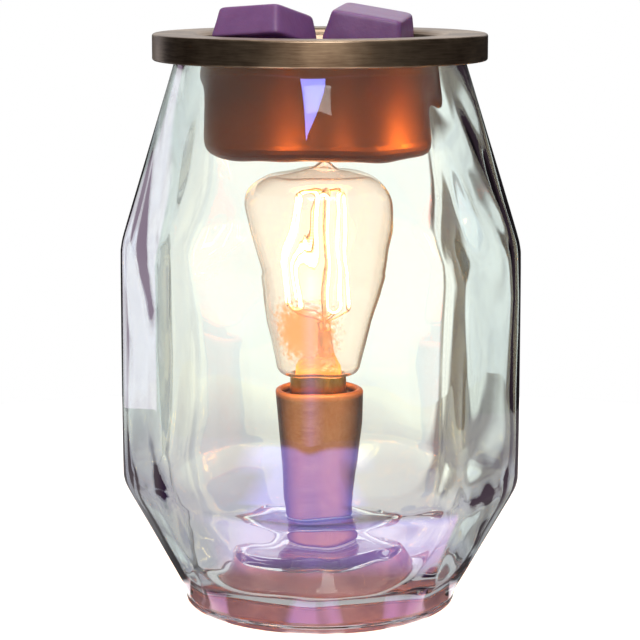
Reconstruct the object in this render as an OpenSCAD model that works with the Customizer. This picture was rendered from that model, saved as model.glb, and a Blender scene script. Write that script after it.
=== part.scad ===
// Electric wax warmer: a faceted glass jar lit from inside by a squirrel-cage bulb,
// with a lift-off metal dish that melts cubes of scented wax.
// Millimetres. Z points up and the front faces -Y. The origin is on the table, under the middle of the foot.

/* [Jar] */
// Radius of the glass body over its corners
jar_r = 68; // [62:0.5:76]
// Number of cut faces round the body
jar_facets = 8; // [6:1:12]
// Turn of the cut faces about the vertical axis
jar_turn = 19.5; // [0:0.5:45]
// Glass thickness in the middle of a cut face
jar_wall = 3.2; // [2.6:0.1:4.5]
// Height of the lower corner of the body, where the upright faces start
jar_bevel_z = 43; // [34:1:52]
// Height of the round foot disc, where the lower slanted faces start
jar_foot_h = 5.6; // [4.5:0.1:7]
// Radius of the round foot disc
jar_foot_r = 46.4; // [44:0.1:52]
// Length of the upper slanted faces, from the body to the neck
jar_shoulder_h = 63; // [50:1:70]
// Height of the straight round neck inside the dish's skirt
jar_neck_h = 5.5; // [4:0.5:8]
// Thickness of the glass lip at the mouth
jar_lip = 3.2; // [2.5:0.1:4]

/* [Jar floor] */
// Height of the glass foot above the table, on its rubber feet
foot_gap = 0.8; // [0.4:0.1:1.6]
// Height of the floor inside the jar
floor_z = 11.6; // [11.2:0.1:14]
// Height of the mound that carries the lamp holder
mound_z = 25; // [22:0.5:30]
// Radius of the mound's flat top
mound_r = 25; // [17:0.5:26]
// Spread of the mound's slope beyond its flat top
mound_slope = 9; // [7:0.5:10]
// Glass thickness of the mound
mound_wall = 5; // [4:0.5:6]

/* [Base] */
// Radius of the metal cover under the foot
cover_r = 33.8; // [32:0.1:35]
// Sheet thickness of the cover
cover_t = 1.2; // [0.8:0.1:1.6]
// Height of the cover's raised middle above its flat ring
cover_dish = 3.8; // [3.4:0.1:4.5]
// Height of the rubber feet
pad_h = 2.2; // [1.8:0.1:3]
// Radius of each rubber foot
pad_r = 5; // [3:0.5:6]
// Number of rubber feet
pad_count = 4; // [3:1:6]
// Radius of the hole that takes the mains lead
lead_hole_r = 2.9; // [2:0.1:3.1]
// Rubber thickness of the grommet round that hole
grommet_wall = 1.6; // [1.2:0.1:1.8]

/* [Lamp holder] */
// Height of the tapered sleeve
sleeve_h = 50; // [48:1:60]
// Outside radius of the sleeve at the top
sleeve_top_r = 14.6; // [14.4:0.1:17]
// Outside radius of the sleeve at the bottom
sleeve_bottom_r = 10.6; // [10.4:0.1:12.5]
// Wall of the sleeve
sleeve_wall = 0.9; // [0.6:0.1:1]
// Radius of the threaded stem that clamps the lamp holder to the glass
stem_r = 5; // [4.5:0.1:5.2]
// Radius of the bore through that stem
stem_bore_r = 3.4; // [2.6:0.1:3.8]
// Thickness of each hexagon nut on the stem
nut_t = 2.5; // [2:0.1:2.8]
// Size of the hexagon nuts across their flats
nut_flats = 13; // [12:0.5:14]
// Length of the moulded socket
socket_h = 27; // [26:0.5:30]

/* [Bulb] */
// Radius of the bulb at its widest
bulb_r = 24.2; // [20:0.1:28]
// Height of the bulb's glass above its cap
bulb_h = 68.6; // [61:0.5:80]
// Thickness of the bulb's glass
bulb_wall = 0.7; // [0.5:0.1:1]
// Radius of the bulb's screw cap
cap_r = 8.2; // [7.6:0.1:8.4]
// Length of the bulb's cap, from its contact to the glass
cap_h = 21; // [19:0.1:22]
// Pitch of the cap's thread
cap_pitch = 2.8; // [2.5:0.1:3]
// Number of upright runs in the filament
filament_runs = 10; // [6:2:14]
// Length of the filament's cage
filament_h = 36; // [30:1:40]

/* [Dish] */
// Inside radius of the dish's bowl
dish_r = 39.8; // [36.5:0.1:42]
// Depth of the bowl under the top of its rim
dish_depth = 39.7; // [36:0.1:46]
// Width of the flat rim beyond the bowl's wall
rim_w = 16.2; // [15:0.1:22]
// Height of the rim's skirt
rim_h = 9.1; // [8:0.1:12]
// Sheet thickness of the dish
dish_t = 0.9; // [0.7:0.1:1.2]
// Air gap between the bulb's tip and the dish
dish_gap = 2.8; // [2:0.1:6]
// Thickness of the soft ring between the glass and the dish
seat_t = 2; // [1.5:0.1:3]

/* [Wax] */
// Width of a wax cube at its base
cube_base = 27.5; // [24:0.5:28]
// Width of a wax cube at its top
cube_top = 23.4; // [21:0.1:25]
// Height of a wax cube
cube_h = 10.8; // [10:0.1:11.5]

/* [Hidden] */
$fn = 64;

fit = 0.1;      // slack between pieces that are fixed together
slack = 0.3;    // slack between pieces that move or lie loose
clear_r = 0.2;  // radial slack of a hole round the stem
washer_t = 0.8;
tip_h = 4;      // exhaust tip on the crown of the bulb
cap_show = 4.3;         // part of the cap above the sleeve
socket_recess = 2.6;    // top of the socket below the sleeve's edge
bracket_drop = 4;       // bracket below the socket
bracket_t = 1.2;
step_gap = 0.4;         // slack round the cover in the foot
mouth_gap = 4.5;        // room for warm air between the bowl and the mouth of the jar

// Heights, worked out from the table upwards.
cover_z = pad_h;
step_z = cover_z + cover_t;
plateau_under = mound_z - mound_wall;
sleeve_z = mound_z + washer_t;
sleeve_top = sleeve_z + sleeve_h;
cap_top = sleeve_top + cap_show;
cap_z = cap_top - cap_h;
bulb_top = cap_top + bulb_h + tip_h;
dish_under = bulb_top + dish_gap;
dish_floor = dish_under + dish_t;
rim_top = dish_floor + dish_depth;
rim_bottom = rim_top - rim_h;
seat_top = rim_top - dish_t;
mouth_z = seat_top - seat_t;
neck_z = mouth_z - jar_neck_h;
shoulder_z = neck_z - jar_shoulder_h;
stem_z = cover_z + 0.6;
socket_top = sleeve_top - socket_recess;
socket_z = socket_top - socket_h;
bracket_z = socket_z - bracket_drop;

mouth_in = dish_r + dish_t + mouth_gap;
mouth_r = mouth_in + jar_lip;
rim_r = dish_r + rim_w;
hole_r = stem_r + clear_r;
grommet_r = lead_hole_r + grommet_wall;
flange_r = grommet_r + 1.2;
grommet_z = foot_gap + grommet_r - 0.7;
foot_ring_r = jar_foot_r - 5.4;

// ---- Shared shapes ---------------------------------------------------------

// Unit vector from a to b.
function unit(a, b) = (b - a) / norm(b - a);

// Points of a rounded corner at p between its neighbours a and c, with radius q.
function corner(a, p, c, q, steps) =
    let (u = unit(p, a), v = unit(p, c), turn = acos(max(-1, min(1, u * v))))
    q <= 0 || turn > 179 ? [p] :
    let (back = q / tan(turn / 2), m = unit([0, 0], u + v),
         mid = p + m * (q / sin(turn / 2)), s = p + u * back - mid, e = p + v * back - mid,
         sweep = 180 - turn, side = s[0] * e[1] - s[1] * e[0] > 0 ? 1 : -1)
    [for (i = [0:steps]) let (w = side * sweep * i / steps)
        mid + [s[0] * cos(w) - s[1] * sin(w), s[0] * sin(w) + s[1] * cos(w)]];

// A line of points [r, z, corner radius] with its corners rounded.
function rounded(pts, steps = 6) = [for (i = [0:len(pts) - 1])
    each (i == 0 || i == len(pts) - 1) ? [[pts[i][0], pts[i][1]]] :
        corner([pts[i - 1][0], pts[i - 1][1]], [pts[i][0], pts[i][1]],
               [pts[i + 1][0], pts[i + 1][1]], pts[i][2], steps)];

// Left-hand normal of a line at its point i, stretched so that walls keep their thickness.
function side_step(line, i) =
    let (n = len(line) - 1,
         a = unit(line[max(0, i == n ? n - 1 : i - 1)], line[i == 0 ? 1 : i]),
         b = unit(line[i == n ? n - 1 : i], line[min(n, i + 1)]),
         na = [-a[1], a[0]], nb = [-b[1], b[0]])
    (na + nb) / (1 + na * nb);

// A sheet of thickness t spun round Z. The line is its outer face, and the sheet lies on the line's left.
module spun_sheet(line, t) {
    inner = [for (i = [len(line) - 1:-1:0])
        let (p = line[i] + t * side_step(line, i)) [line[i][0] == 0 ? 0 : max(0, p[0]), p[1]]];
    rotate_extrude() polygon(concat(line, inner));
}

// A flat ring.
module ring(r_out, r_in, t) {
    difference() {
        cylinder(r = r_out, h = t);
        translate([0, 0, -1]) cylinder(r = r_in, h = t + 2);
    }
}

// A hexagon nut with a plain hole.
module hex_nut(t) {
    difference() {
        cylinder(r = nut_flats / 2 / cos(30), h = t, $fn = 6);
        translate([0, 0, -1]) cylinder(r = stem_r + clear_r, h = t + 2);
    }
}

// Turns round the axis of a thread, as the wavy line of its flanks.
function thread_line(r, depth, z0, turns, pitch) = [for (i = [0:turns * 6])
    [r - depth / 2 + depth / 2 * cos(i * 60), z0 + i * pitch / 6]];

// Direction u carried round the bend from direction a to direction b.
function carried(u, a, b) = u - (b * u) / (1 + a * b) * (a + b);

// A wire of radius q along a list of points, as one closed solid with mitred bends.
module wire(pts, q, sides = 6) {
    n = len(pts) - 1;
    along = [for (i = [0:n - 1]) unit(pts[i], pts[i + 1])];
    start = cross(along[0], abs(along[0][2]) > 0.7 ? [1, 0, 0] : [0, 0, 1]);
    across = [for (i = 0, u = start / norm(start); i < n;
        i = i + 1, u = i < n ? carried(u, along[i - 1], along[i]) : u) u];
    points = [for (i = [0:n])
        let (s = max(0, i - 1), t = along[s], u = across[s], v = cross(t, u),
             plane = i == n ? t : t + along[i])
        each [for (k = [0:sides - 1])
            let (w = k * 360 / sides, d = q * (u * cos(w) + v * sin(w)))
            pts[i] + d - t * (d * plane) / (t * plane)]];
    walls = [for (i = [0:n - 1]) for (k = [0:sides - 1]) let (m = (k + 1) % sides)
        [i * sides + k, (i + 1) * sides + k, (i + 1) * sides + m, i * sides + m]];
    ends = [[for (k = [0:sides - 1]) k], [for (k = [sides - 1:-1:0]) n * sides + k]];
    polyhedron(points, concat(walls, ends), convexity = 6);
}

// ---- Glass jar -------------------------------------------------------------

facet_step = 360 / jar_facets;
corner_soft = 44;   // higher makes the cut corners sharper

// Directions round the jar, close together at each corner and wide apart on each face.
facet_share = [-0.5, -0.45, -0.38, -0.2, 0, 0.2, 0.38, 0.45];
jar_angles = [for (i = [0:jar_facets - 1]) for (s = facet_share) (i + s) * facet_step - 90 + jar_turn];

// Radius of a soft-cornered polygon, 1 at its corners: the p-norm of its faces' distances.
function soft_polygon(a, soft) =
    let (sum = [for (i = [0:jar_facets - 1])
            pow(max(0, cos(a - i * facet_step + 90 - jar_turn)), soft)] * [for (i = [0:jar_facets - 1]) 1],
         edge = pow(2, -1 / soft) / cos(facet_step / 2))
    pow(sum, -1 / soft) / edge;

// One ring of the jar: [height, corner radius, share of the cut shape, softness].
function jar_ring(g) = [for (a = jar_angles)
    let (r = g[1] * (1 - g[2] + g[2] * (g[2] > 0 ? soft_polygon(a, g[3]) : 1)))
    [r * cos(a), r * sin(a), g[0]]];

// Rings from the mound's underside, over the foot, up the outside, into the mouth and down to the mound's top.
flat_share = cos(facet_step / 2);
inner_r = jar_r * flat_share - jar_wall;       // inside radius of the body at its faces
inner_corner = inner_r * 1.066;
inner_soft = 32;
foot_bottom = foot_gap;
function outer_ring(z, r, cut) = [z, r, cut, corner_soft];
function inner_ring(z, r, cut) = [z, r, cut, inner_soft];
shoulder_slope = (jar_r - mouth_r) / jar_shoulder_h;
bevel_slope = (jar_r - jar_foot_r) / (jar_bevel_z - jar_foot_h);
underside = [
    [plateau_under, mound_r - 3, 0],
    [plateau_under - 2, mound_r - 1, 0],
    [step_z + 2, mound_r + mound_slope - mound_wall + 0.5, 0],
    [step_z, mound_r + mound_slope - mound_wall + 2, 0],
    [step_z, cover_r + step_gap, 0],
    [foot_bottom, cover_r + step_gap, 0],
    [foot_bottom, foot_ring_r, 0],
    [foot_bottom + 0.5, foot_ring_r + 2.2, 0],
    [foot_bottom + 1.6, jar_foot_r - 1, 0],
    [foot_bottom + 3, jar_foot_r, 0],
    [jar_foot_h - 0.6, jar_foot_r - 0.5, 0]];
outside = [
    outer_ring(jar_foot_h + 0.8, jar_foot_r - 0.2 + bevel_slope, 0.25),
    outer_ring(jar_foot_h + 6, jar_foot_r + 6.5 * bevel_slope, 0.6),
    outer_ring(jar_bevel_z - 12, jar_r - 12 * bevel_slope, 0.9),
    outer_ring(jar_bevel_z - 2.5, jar_r - 2.5 * bevel_slope, 1),
    outer_ring(jar_bevel_z, jar_r - 0.5, 1),
    outer_ring(jar_bevel_z + 3, jar_r, 1),
    outer_ring(shoulder_z - 3, jar_r, 1),
    outer_ring(shoulder_z, jar_r - 0.4, 1),
    outer_ring(shoulder_z + 3, jar_r - 3.2 * shoulder_slope, 1),
    outer_ring(shoulder_z + jar_shoulder_h * 0.45, jar_r - jar_shoulder_h * 0.45 * shoulder_slope, 0.85),
    outer_ring(shoulder_z + jar_shoulder_h * 0.8, jar_r - jar_shoulder_h * 0.8 * shoulder_slope, 0.45),
    outer_ring(neck_z - 2, mouth_r + 2 * shoulder_slope, 0.1),
    [neck_z, mouth_r, 0],
    [mouth_z - 0.8, mouth_r, 0],
    [mouth_z, mouth_r - 0.8, 0]];
inside = [
    [mouth_z, mouth_in + 0.8, 0],
    [mouth_z - 0.8, mouth_in, 0],
    [neck_z - 3, mouth_in, 0],
    inner_ring(shoulder_z + jar_shoulder_h * 0.6, inner_corner - (inner_corner - mouth_in) * 0.62, 0.5),
    inner_ring(shoulder_z + 6, inner_corner - 2.4, 1),
    inner_ring(shoulder_z - 4, inner_corner, 1),
    inner_ring(jar_bevel_z + 6, inner_corner, 1),
    inner_ring(jar_bevel_z - 2, inner_corner - 2.6, 1),
    inner_ring(floor_z + 9, jar_foot_r + 5.8 * bevel_slope, 0.5),
    [floor_z + 3, jar_foot_r - 2, 0],
    [floor_z + 0.8, jar_foot_r - 5, 0],
    [floor_z, jar_foot_r - 9, 0],
    [floor_z, mound_r + mound_slope + 1.5, 0],
    [floor_z + 1.4, mound_r + mound_slope - 1, 0],
    [mound_z - 2.5, mound_r + 1.8, 0],
    [mound_z - 0.6, mound_r + 0.3, 0],
    [mound_z, mound_r - 1.2, 0]];

module jar_shell() {
    rings = [for (g = concat(underside, outside, inside)) jar_ring(g)];
    n = len(jar_angles);
    m = len(rings);
    points = [for (g = rings) each g];
    walls = [for (i = [0:m - 2]) for (k = [0:n - 1]) let (j = (k + 1) % n)
        [i * n + k, (i + 1) * n + k, (i + 1) * n + j, i * n + j]];
    ends = [[for (k = [0:n - 1]) k], [for (k = [n - 1:-1:0]) (m - 1) * n + k]];
    polyhedron(points, concat(walls, ends), convexity = 8);
}

module glass_jar() {
    color([0.86, 0.9, 0.93, 0.4])
    difference() {
        jar_shell();
        translate([0, 0, plateau_under - 1]) cylinder(r = hole_r, h = mound_wall + 2);
        lead_notch();
    }
}

// Arched notch through the back of the foot.
module lead_notch() {
    r = grommet_r + fit;
    translate([0, mound_r + 3, grommet_z]) rotate([-90, 0, 0]) cylinder(r = r, h = jar_r);
    translate([-r, mound_r + 3, -1]) cube([2 * r, jar_r, grommet_z + 1]);
    translate([0, jar_foot_r, grommet_z]) rotate([-90, 0, 0]) cylinder(r = flange_r + fit, h = jar_r);
}

// ---- Base ------------------------------------------------------------------

module base_cover() {
    notch = grommet_r + 1;
    color([0.36, 0.27, 0.2])
    difference() {
        spun_sheet(rounded([
            [hole_r, cover_z + cover_dish, 0],
            [nut_flats / 2 + 4, cover_z + cover_dish, 1.5],
            [nut_flats / 2 + 6.5, cover_z, 1.5],
            [cover_r, cover_z, 0]]), cover_t);
        translate([-notch, cover_r - 7, cover_z - 1]) cube([2 * notch, 10, cover_t + 2]);
    }
}

module rubber_feet() {
    color([0.12, 0.12, 0.13])
    for (i = [0:pad_count - 1])
        rotate([0, 0, 45 + i * 360 / pad_count]) translate([cover_r - pad_r - 4, 0, 0])
            rotate_extrude() polygon(concat([[0, 0]],
                rounded([[0, 0, 0], [pad_r - 0.6, 0, 0.6], [pad_r, pad_h, 0]]), [[0, pad_h]]));
}

module cord_grommet() {
    length = jar_foot_r - cover_r;
    color([0.08, 0.08, 0.09])
    difference() {
        union() {
            translate([0, cover_r, grommet_z]) rotate([-90, 0, 0])
                cylinder(r = grommet_r, h = length + 1.5);
            translate([0, jar_foot_r + fit, grommet_z]) rotate([-90, 0, 0])
                cylinder(r = flange_r, h = 1.4);
        }
        translate([0, 0, grommet_z]) rotate([-90, 0, 0]) cylinder(r = lead_hole_r, h = jar_r);
        translate([-jar_r, 0, -jar_r + foot_gap]) cube([2 * jar_r, jar_r, jar_r]);
    }
}

// ---- Clamping stack --------------------------------------------------------

module stem_pipe() {
    slot_r = lead_hole_r;
    color([0.78, 0.7, 0.5])
    difference() {
        translate([0, 0, stem_z]) cylinder(r = stem_r, h = bracket_z + bracket_t - stem_z);
        translate([0, 0, stem_z - 1]) cylinder(r = stem_bore_r, h = bracket_z + bracket_t - stem_z + 2);
        translate([0, 0, step_z + cover_dish + 1.2 + slot_r]) rotate([-90, 0, 0])
            cylinder(r = slot_r, h = stem_r + 2);
    }
}

module stem_locknuts() {
    color([0.72, 0.72, 0.7]) {
        translate([0, 0, sleeve_z + sleeve_wall]) hex_nut(nut_t);
        translate([0, 0, plateau_under - 2 * washer_t - 0.2 - nut_t]) hex_nut(nut_t);
    }
}

module cover_nut() {
    color([0.72, 0.72, 0.7])
    translate([0, 0, cover_z + cover_dish - nut_t]) hex_nut(nut_t);
}

module lower_rubber_washer() {
    color([0.1, 0.1, 0.1])
    translate([0, 0, plateau_under - washer_t - 0.2]) ring(nut_flats / 2 + 4.5, hole_r, washer_t + 0.2);
}

module lower_steel_washer() {
    color([0.75, 0.75, 0.74])
    translate([0, 0, plateau_under - 2 * washer_t - 0.2]) ring(nut_flats / 2 + 4, hole_r, washer_t);
}

module sleeve_washer() {
    color([0.85, 0.85, 0.85])
    translate([0, 0, mound_z]) ring(sleeve_bottom_r - 1, hole_r, washer_t);
}

// ---- Lamp holder -----------------------------------------------------------

// Outside radius of the sleeve at a height.
function sleeve_r(z) = sleeve_bottom_r + (sleeve_top_r - sleeve_bottom_r) * (z - sleeve_z) / sleeve_h;

module socket_sleeve() {
    lip_roll = 1.2;
    roll_z = sleeve_top - lip_roll;
    color([0.66, 0.43, 0.27])
    union() {
        spun_sheet(rounded([
            [hole_r, sleeve_z, 0],
            [sleeve_bottom_r, sleeve_z, 1.8],
            [sleeve_r(roll_z), roll_z, 0]]), sleeve_wall);
        rotate_extrude() translate([sleeve_r(roll_z) - lip_roll, roll_z]) circle(r = lip_roll);
    }
}

socket_low_r = sleeve_bottom_r - sleeve_wall - 1.2;
ear_t = 1;
bracket_out = socket_low_r + fit + ear_t;
socket_high_r = sleeve_r(socket_z + 14) - sleeve_wall - 0.4;
cup_floor = cap_z - 1.6;      // floor of the socket's cup, under the bulb's contact
shell_r = cap_r + slack;

module socket_body() {
    color([0.14, 0.12, 0.11])
    difference() {
        rotate_extrude() polygon(concat([[0, socket_z]], rounded([
            [0, socket_z, 0], [socket_low_r, socket_z, 0.8], [socket_low_r, cup_floor - 2, 0],
            [socket_high_r, cup_floor + 1, 0], [socket_high_r, socket_top, 0.8],
            [shell_r + 1.1, socket_top, 0]], 4), [[0, socket_top]]));
        translate([0, 0, cup_floor]) cylinder(r = shell_r + 0.9, h = socket_h);
        translate([0, 0, socket_z - 1]) cylinder(r = 1.1, h = cup_floor - socket_z + 2);
        for (s = [-1, 1]) {
            translate([s * (socket_low_r - 2.5), 0, rivet_z]) rotate([0, s * 90, 0])
                cylinder(r = 1.1, h = 5);
            translate([0, s * (socket_low_r - 2.5), rivet_z]) rotate([s * -90, 0, 0])
                cylinder(r = 1.1, h = 5);
        }
    }
}
rivet_z = socket_z + 3.4;

// Steel plate that screws on to the stem and holds the socket between its ears.
module socket_bracket() {
    width = 7;
    color([0.68, 0.69, 0.7])
    difference() {
        union() {
            translate([0, 0, bracket_z]) cylinder(r = bracket_out - 0.4, h = bracket_t);
            for (s = [-1, 1]) mirror([s > 0 ? 0 : 1, 0, 0]) {
                translate([bracket_out - ear_t, -width / 2, bracket_z])
                    cube([ear_t, width, rivet_z + 3 - bracket_z]);
                translate([stem_r + 0.5, -width / 2, bracket_z])
                    cube([bracket_out - stem_r - 0.5, width, bracket_t]);
            }
        }
        translate([0, 0, bracket_z - 1]) cylinder(r = stem_r, h = bracket_t + 2);
        for (s = [-1, 1]) translate([s * (bracket_out - 2), 0, rivet_z]) rotate([0, s * 90, 0])
            cylinder(r = 1.1, h = 4);
    }
}

module bracket_rivets() {
    color([0.75, 0.75, 0.74])
    for (s = [-1, 1]) translate([s * (socket_low_r - 2.4), 0, rivet_z]) rotate([0, s * 90, 0]) {
        cylinder(r = 1.05, h = bracket_out - socket_low_r + 2.4);
        translate([0, 0, bracket_out - socket_low_r + 2.4]) cylinder(r = 1.8, h = 0.4);
    }
}

module terminal_screws() {
    color([0.8, 0.66, 0.35])
    for (s = [-1, 1]) translate([0, s * (socket_low_r - 2.4), rivet_z]) rotate([s * -90, 0, 0]) {
        cylinder(r = 1.05, h = 2.5);
        difference() {
            translate([0, 0, 2.5]) cylinder(r = 2.2, h = 0.9);
            translate([-3, -0.3, 3]) cube([6, 0.6, 1]);
        }
    }
}

thread_turns = 3;
thread_z = cap_z + 4.6;

module socket_screw_shell() {
    color([0.82, 0.68, 0.38])
    spun_sheet(concat([[5, cup_floor], [shell_r + 0.8, cup_floor]],
        [for (p = thread_line(shell_r + 0.8, 0.5, thread_z, thread_turns, cap_pitch)) p],
        [[shell_r + 0.8, socket_top - 1]]), 0.4);
}

module socket_contact() {
    color([0.85, 0.7, 0.4])
    union() {
        translate([-1.6, -1.6, cup_floor]) cube([4.6, 3.2, 0.4]);
        translate([-1.6, -1.6, cup_floor]) cube([0.5, 3.2, cap_z - cup_floor - slack]);
        translate([-1.6, -1.6, cap_z - slack - 0.4]) cube([4, 3.2, 0.4]);
        translate([0, 0, socket_z + 0.6]) cylinder(r = 1, h = cup_floor - socket_z - 0.4);
    }
}

// ---- Dish and its seat -----------------------------------------------------

module dish_seat_ring() {
    lip = 0.8;
    color([0.9, 0.9, 0.88, 0.7])
    rotate_extrude() polygon([
        [mouth_in + 0.2, mouth_z + fit], [mouth_in + 0.2, seat_top - slack],
        [mouth_r + fit + lip, seat_top - slack], [mouth_r + fit + lip, mouth_z - 3],
        [mouth_r + fit, mouth_z - 3], [mouth_r + fit, mouth_z + fit]]);
}

module wax_dish() {
    flare = 5.2;
    floor_corner = 5;
    draft = 0.5;
    color([0.45, 0.37, 0.29])
    spun_sheet(rounded([
        [rim_r - 1.5, rim_bottom + 0.3, 0],
        [rim_r, rim_bottom, 0.8],
        [rim_r, rim_top, 0.9],
        [dish_r, rim_top, flare],
        [dish_r - draft, dish_floor, floor_corner],
        [0, dish_floor, 0]]), dish_t);
}

// ---- Wax -------------------------------------------------------------------

cube_round = 2;

// A cube of wax as it leaves its mould: tapered, with soft edges, standing on z = 0.
module wax_cube() {
    low = cube_base / 2 - cube_round;
    high = cube_top / 2 - cube_round;
    hull() {
        for (x = [-1, 1], y = [-1, 1]) {
            translate([x * low, y * low, cube_round]) sphere(r = cube_round, $fn = 16);
            translate([x * high, y * high, cube_h - cube_round]) sphere(r = cube_round, $fn = 16);
        }
    }
}

// Half the width of a turned square along X, less what its rounded corner saves.
function reach(side, yaw) = side / 2 * (cos(yaw) + sin(yaw))
    - cube_round * (cos(yaw) + sin(yaw) - 1);

// Height of the underside of a layer of cubes, 0 for the lowest; the stack is three crossed pairs.
function layer(i) = dish_floor + slack + i * (cube_h + slack);
stack_layers = 3;
left_yaw = -32;
left_tilt = -13;
left_roll = 3;
right_yaw = -12;
right_tilt = 7;
right_roll = 8;
left_x = -(dish_r - 3.2 - reach(cube_base, abs(left_yaw)));
right_x = left_x + reach(cube_base, abs(left_yaw)) + reach(cube_base, abs(right_yaw)) + 0.4;

module wax_cubes_lower() {
    apart = cube_base / 2 + 0.4;
    color([0.42, 0.25, 0.45])
    for (i = [0:stack_layers - 1], s = [-1, 1])
        rotate([0, 0, i % 2 == 0 ? 0 : 90]) translate([s * apart, 0, layer(i)]) wax_cube();
}

// The top pair leans on the stack, one back and one forward, so each is lifted by what its lean sinks.
module wax_cube_left() {
    rise = cube_top / 2 * sin(abs(left_tilt));
    color([0.42, 0.25, 0.45])
    translate([left_x, 0, layer(stack_layers) + rise])
        rotate([left_tilt, left_roll, 0]) rotate([0, 0, left_yaw]) wax_cube();
}

module wax_cube_right() {
    rise = cube_top / 2 * 0.9 * (sin(right_tilt) + sin(right_roll));
    color([0.42, 0.25, 0.45])
    translate([right_x, 0, layer(stack_layers) + rise])
        rotate([right_tilt, right_roll, 0]) rotate([0, 0, right_yaw]) wax_cube();
}

// ---- Bulb ------------------------------------------------------------------

neck_r = cap_r - 0.5;

module bulb_glass() {
    crown = cap_top + bulb_h;
    color([0.95, 0.9, 0.8, 0.35])
    spun_sheet(rounded([
        [neck_r - 0.4, cap_top - 4, 0],
        [neck_r - 0.4, cap_top, 0.6],
        [bulb_r * 0.55, cap_top + 1.5, 4.5],
        [bulb_r * 0.84, cap_top + bulb_h * 0.43, 40],
        [bulb_r * 1.04, crown - 2, 9.5],
        [4.6, crown + 0.4, 2.5],
        [1.6, crown + 2.9, 0.8],
        [0, bulb_top, 0]], 7), bulb_wall);
}

module bulb_cap() {
    color([0.8, 0.66, 0.36])
    spun_sheet(concat(
        [[6.6, thread_z - 1.6], [cap_r - 0.6, thread_z - 1]],
        thread_line(cap_r, 0.5, thread_z, thread_turns, cap_pitch),
        [[cap_r, cap_top - 1.2], [cap_r - 0.1, cap_top]]), 0.35);
}

module bulb_insulator() {
    low = cap_z + 1.2;
    high = thread_z - 0.4;
    color([0.08, 0.07, 0.07])
    rotate_extrude() polygon([[1.5, low], [3.6, low], [6.4, high - 1.35], [5.9, high], [1.5, high]]);
}

module bulb_contact() {
    color([0.78, 0.78, 0.76])
    rotate_extrude() polygon(concat([[0, cap_z]], rounded([[0, cap_z, 0], [2.8, cap_z, 0.9],
        [2.9, cap_z + 1.2, 0]]), [[1.4, cap_z + 1.2], [1.4, thread_z], [0, thread_z]]));
}

// Glass mount inside the bulb: a flare sealed to the neck, a tube, a flat pinch and a rod.
cage_top = bulb_top - tip_h - 7.5;
cage_bottom = cage_top - filament_h;
stem_top = cage_bottom - 8.5;
module bulb_stem() {
    color([0.93, 0.93, 0.9, 0.5])
    union() {
        rotate_extrude() polygon(concat([[0, stem_top - 6]], [[0, cap_top + 1]], rounded([
            [0, cap_top + 1, 0], [2.4, cap_top + 1, 0],
            [2.4, cap_top - 2.4, 1.5], [neck_r - 0.4 - bulb_wall - fit, cap_top - 3.4, 0],
            [neck_r - 0.4 - bulb_wall - fit, cap_top - 2.4, 0], [3.6, cap_top - 0.5, 2],
            [3.4, stem_top - 6, 0]], 4)));
        translate([-3.6, -1.2, stem_top - 8]) cube([7.2, 2.4, 8]);
        translate([0, 0, stem_top - 1]) cylinder(r = 0.9, h = cage_top - stem_top + 1);
        translate([0, 0, cage_top]) sphere(r = 1.8);
    }
}

cage_top_r = 6.2;
cage_bottom_r = 10.5;

// End i of a filament run: even ends lie on the upper ring, odd ends on the lower one.
function cage_angle(i) = (i + 0.5) * 360 / (filament_runs + 1) + 100;
function cage_end(i, up) = [(up ? cage_top_r : cage_bottom_r) * cos(cage_angle(i)),
    (up ? cage_top_r : cage_bottom_r) * sin(cage_angle(i)), up ? cage_top : cage_bottom];
filament_line = [for (i = [0:filament_runs - 1]) each
    i % 2 == 0 ? [cage_end(i, false), cage_end(i, true)] : [cage_end(i, true), cage_end(i, false)]];

module bulb_filament() {
    color([1, 0.75, 0.35]) wire(filament_line, filament_r);
}

// Hooks that hold the filament's bends: each runs out from the glass rod or its button and ends under a bend.
module bulb_hook(i, ring_r, root_r, root_z, knee_z, end_z) {
    a = (cage_angle(i) + cage_angle(i + 1)) / 2;
    r = ring_r * cos(180 / (filament_runs + 1));
    bends = [[root_r, root_z], [r - 0.7, knee_z], [r + 0.2, end_z]];
    wire([for (p = bends) [p[0] * cos(a), p[0] * sin(a), p[1]]], hook_r);
}
hook_r = 0.22;
filament_r = 0.3;
hook_gap = filament_r + hook_r + 0.1;

module bulb_supports() {
    color([0.75, 0.68, 0.5]) {
        for (i = [0:2:filament_runs - 2])
            bulb_hook(i, cage_top_r, 1.75, cage_top + 0.8, cage_top + 1.2, cage_top + hook_gap);
        for (i = [1:2:filament_runs - 2])
            bulb_hook(i, cage_bottom_r, 1.05, cage_bottom - 5, cage_bottom - 1, cage_bottom - hook_gap);
    }
}

// The two leads stand in the pinch and reach out to the ends of the filament.
module bulb_leads() {
    color([0.7, 0.6, 0.45])
    for (s = [1, -1]) {
        end = cage_end(s > 0 ? 0 : filament_runs - 1, false);
        wire([[s * 2.4, 0, stem_top + 0.1], [s * 2.6, 0, stem_top + 3],
              [end[0] * 0.97, end[1] * 0.97, end[2] - hook_gap]], 0.28);
    }
}

glass_jar();
base_cover();
rubber_feet();
cord_grommet();
stem_pipe();
stem_locknuts();
cover_nut();
lower_rubber_washer();
lower_steel_washer();
sleeve_washer();
socket_sleeve();
socket_body();
socket_bracket();
bracket_rivets();
socket_screw_shell();
socket_contact();
terminal_screws();
dish_seat_ring();
wax_dish();
wax_cubes_lower();
wax_cube_left();
wax_cube_right();
bulb_glass();
bulb_cap();
bulb_insulator();
bulb_contact();
bulb_stem();
bulb_leads();
bulb_supports();
bulb_filament();
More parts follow.
